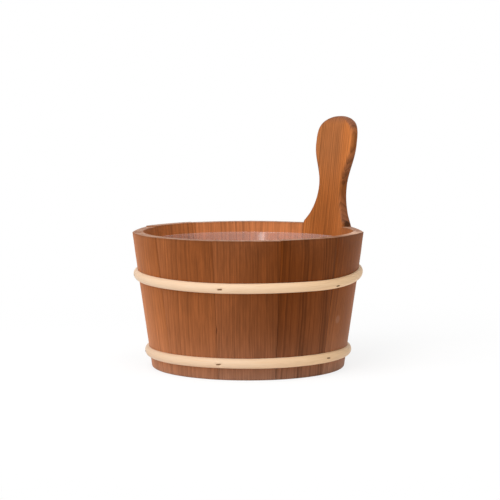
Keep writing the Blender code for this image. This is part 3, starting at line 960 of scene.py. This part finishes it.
def staple_outline():
    """Outline of a bent wire seen from above: x runs out of the stave, y along the hoop."""
    half = STAPLE_WIDTH / 2
    inner = half - STAPLE_WIRE
    crown = HOOP_FRONT - STAPLE_SINK
    shoulder = crown - STAPLE_WIRE
    chisel = STAPLE_WIRE - STAPLE_BITE
    right = arc(crown - STAPLE_CORNER, half - STAPLE_CORNER, STAPLE_CORNER, 90, 0, ROUNDING_STEPS)
    left = [(x, -y) for x, y in reversed(right)]
    inside = [(chisel, -inner), (shoulder, -inner), (shoulder, inner), (chisel, inner)]
    return [(-STAPLE_BITE, -half), *inside, (-STAPLE_BITE, half), *right, *left]


def build_staple(node, azimuth, level, tilt, material):
    """One staple, driven square into the wall."""
    reach = STAPLE_WIRE_HEIGHT / 2
    bm = loft([[(x, y, z) for x, y in staple_outline()] for z in (-reach, reach)])
    soften_edges(bm, STAPLE_ARRIS, STAPLE_ARRIS_STEPS)
    radius = outer_radius(level)
    place = Matrix.Translation((radius * math.cos(azimuth), radius * math.sin(azimuth), level))
    turn = Matrix.Rotation(azimuth, 4, "Z") @ Matrix.Rotation(SLANT, 4, "Y") @ Matrix.Rotation(tilt, 4, "X")
    bmesh.ops.transform(bm, matrix=place @ turn, verts=bm.verts)
    add_piece(f"{node}_wire", bm, material, "bucket", node)


def build_hoops():
    """Both hoops with their staples."""
    steel = steel_material()
    for name, seed, rise, tilt in HOOPS:
        level = hoop_level(f"{name}_hoop")
        staples = staple_places(f"{name}_staple", level)
        build_hoop(f"{name}_hoop", seed, level, rise, tilt, staples)
        for node, azimuth, up, turn in staples:
            build_staple(node, azimuth, level + hoop_rise(azimuth, rise, tilt) + up, turn, steel)


# Base and liner

def board_outline(low, high):
    """Outline of one base board: two straight edges along X, and round ends on the base circle."""
    start = math.asin(max(-1.0, low / BASE_RADIUS))
    end = math.asin(min(1.0, high / BASE_RADIUS))
    right = []
    for step in range(BOARD_ARC_STEPS + 1):
        angle = start + (end - start) * step / BOARD_ARC_STEPS
        right.append((BASE_RADIUS * math.cos(angle), BASE_RADIUS * math.sin(angle)))
    left = [(-x, y) for x, y in reversed(right) if x > SEAT_GAP]
    return right + left


def build_base():
    """Boards side by side across the base, each with its long edges eased."""
    for number, timber in enumerate(BOARD_TIMBERS, start=1):
        node = f"base_board_{number}"
        low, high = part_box(node)
        middle = (low.y + high.y) / 2
        outline = board_outline(low.y, high.y)
        bm = loft([[(x, y, z) for x, y in outline] for z in (low.z, high.z)])
        soften_edges(bm, BOARD_ARRIS, BOARD_ARRIS_STEPS)
        half_width = (high.y - low.y) / 2 * MILLIMETRES
        material = wood_material(f"{node}_timber", timber, half_width, (number + STAVE_COUNT) * SEED_STEP)
        top = high.z

        def place(i, point):
            return point.y - middle, point.z - top, point.x

        add_piece(f"{node}_wood", bm, material, "bucket", node, place)


def liner_profile():
    """Points (r, z) of the liner's wall, from the axis under its floor round the lip to the axis above."""
    low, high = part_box("liner")
    floor = low.z
    lip = high.z - LINER_WALL / 2

    def radius(z):
        return inner_radius(z) - LINER_CLEARANCE

    bend = floor + LINER_CORNER_RADIUS
    corner = radius(bend) - LINER_CORNER_RADIUS
    profile = [(0.0, floor)]
    profile += arc(corner, bend, LINER_CORNER_RADIUS, -90, 0, LINER_ARC_STEPS)
    profile += arc(radius(lip) - LINER_WALL / 2, lip, LINER_WALL / 2, 0, 180, LINER_ARC_STEPS)
    profile += arc(corner, bend, LINER_CORNER_RADIUS - LINER_WALL, 0, -90, LINER_ARC_STEPS)
    profile.append((0.0, floor + LINER_WALL))
    return profile


def build_liner():
    """Loose moulded tub that stands on the base."""
    profile = liner_profile()
    bm = bmesh.new()
    under = bm.verts.new((0, 0, profile[0][1]))
    inside = bm.verts.new((0, 0, profile[-1][1]))
    columns = []
    for step in range(LINER_TURN_STEPS):
        turn = 2 * math.pi * step / LINER_TURN_STEPS
        points = [(r * math.cos(turn), r * math.sin(turn), z) for r, z in profile[1:-1]]
        columns.append([bm.verts.new(point) for point in points])
    for here, there in zip(columns, columns[1:] + columns[:1]):
        bm.faces.new((under, there[0], here[0]))
        bm.faces.new((inside, here[-1], there[-1]))
        for i in range(len(here) - 1):
            bm.faces.new((here[i], there[i], there[i + 1], here[i + 1]))
    add_piece("liner_tub", bm, liner_material(), "liner", "liner")


# Stage: camera, light and floor

def direction(azimuth, elevation):
    """Unit vector towards a place seen from the bucket: azimuth in degrees to the right of the camera."""
    turn = math.radians(azimuth) - math.pi / 2 + CAMERA_AZIMUTH
    rise = math.radians(elevation)
    return Vector((math.cos(turn) * math.cos(rise), math.sin(turn) * math.cos(rise), math.sin(rise)))


def add_camera():
    """Camera at the photograph's place."""
    camera = bpy.data.objects.new("camera", bpy.data.cameras.new("camera"))
    bpy.context.scene.collection.objects.link(camera)
    camera.location = direction(0.0, 0.0) * CAMERA_DISTANCE + Vector((0.0, 0.0, CAMERA_HEIGHT))
    camera.rotation_euler = (math.pi / 2 + CAMERA_PITCH, 0.0, CAMERA_AZIMUTH - CAMERA_YAW)
    camera.data.lens = CAMERA_LENS
    camera.data.sensor_width = CAMERA_SENSOR
    bpy.context.scene.camera = camera


def add_lamp(name, azimuth, elevation, reach, size, power):
    """Square soft box that faces the bucket."""
    lamp = bpy.data.objects.new(name, bpy.data.lights.new(name, "AREA"))
    bpy.context.scene.collection.objects.link(lamp)
    away = direction(azimuth, elevation)
    lamp.location = away * reach + Vector((0.0, 0.0, BODY_HEIGHT / 2))
    lamp.rotation_euler = away.to_track_quat("Z", "Y").to_euler()
    lamp.data.size = size
    lamp.data.energy = power


def seen_directly(tree):
    """1 for rays from the camera and for mirrored or refracted ones, 0 for those that only light things."""
    path = tree.nodes.new("ShaderNodeLightPath").outputs
    mirrored = calc(tree, "MAXIMUM", path["Is Glossy Ray"], path["Is Transmission Ray"])
    return calc(tree, "MAXIMUM", path["Is Camera Ray"], mirrored)


def add_world():
    """White to look at, and a soft even light on the bucket."""
    world = bpy.data.worlds.new("studio")
    world.use_nodes = True
    tree = world.node_tree
    shown = seen_directly(tree)
    level = calc(tree, "MULTIPLY_ADD", shown, 1.0 - WORLD_LIGHT, WORLD_LIGHT)
    tree.links.new(level, tree.nodes["Background"].inputs["Strength"])
    tree.nodes["Background"].inputs["Color"].default_value = (1.0, 1.0, 1.0, 1.0)
    bpy.context.scene.world = world


def add_floor():
    """Pale floor that runs out into the white and keeps a soft shadow."""
    bm = bmesh.new()
    bmesh.ops.create_circle(bm, cap_ends=True, segments=FLOOR_STEPS, radius=FLOOR_RADIUS)
    mesh = bpy.data.meshes.new("floor")
    bm.to_mesh(mesh)
    bm.free()
    material = bpy.data.materials.new("floor_paper")
    material.use_nodes = True
    tree = material.node_tree
    tree.nodes.clear()
    paper = tree.nodes.new("ShaderNodeBsdfDiffuse")
    paper.inputs["Color"].default_value = (*FLOOR_COLOUR, 1.0)
    glow = tree.nodes.new("ShaderNodeEmission")
    mix = tree.nodes.new("ShaderNodeMixShader")
    place = tree.nodes.new("ShaderNodeTexCoord").outputs["Object"]
    whitening = fade(tree, distance(tree, place), FLOOR_FADE_START, FLOOR_FADE_END, FLOOR_WHITENING, 1.0)
    tree.links.new(calc(tree, "MULTIPLY", seen_directly(tree), whitening), mix.inputs["Fac"])
    tree.links.new(paper.outputs[0], mix.inputs[1])
    tree.links.new(glow.outputs[0], mix.inputs[2])
    output = tree.nodes.new("ShaderNodeOutputMaterial")
    tree.links.new(mix.outputs[0], output.inputs["Surface"])
    mesh.materials.append(material)
    floor = bpy.data.objects.new("floor", mesh)
    bpy.context.scene.collection.objects.link(floor)
    floor.location.z = -FLOOR_DROP


build_staves()
build_hoops()
build_base()
build_liner()
add_camera()
for lamp in LAMPS:
    add_lamp(*lamp)
add_world()
add_floor()
bpy.context.scene.view_settings.view_transform = "Standard"
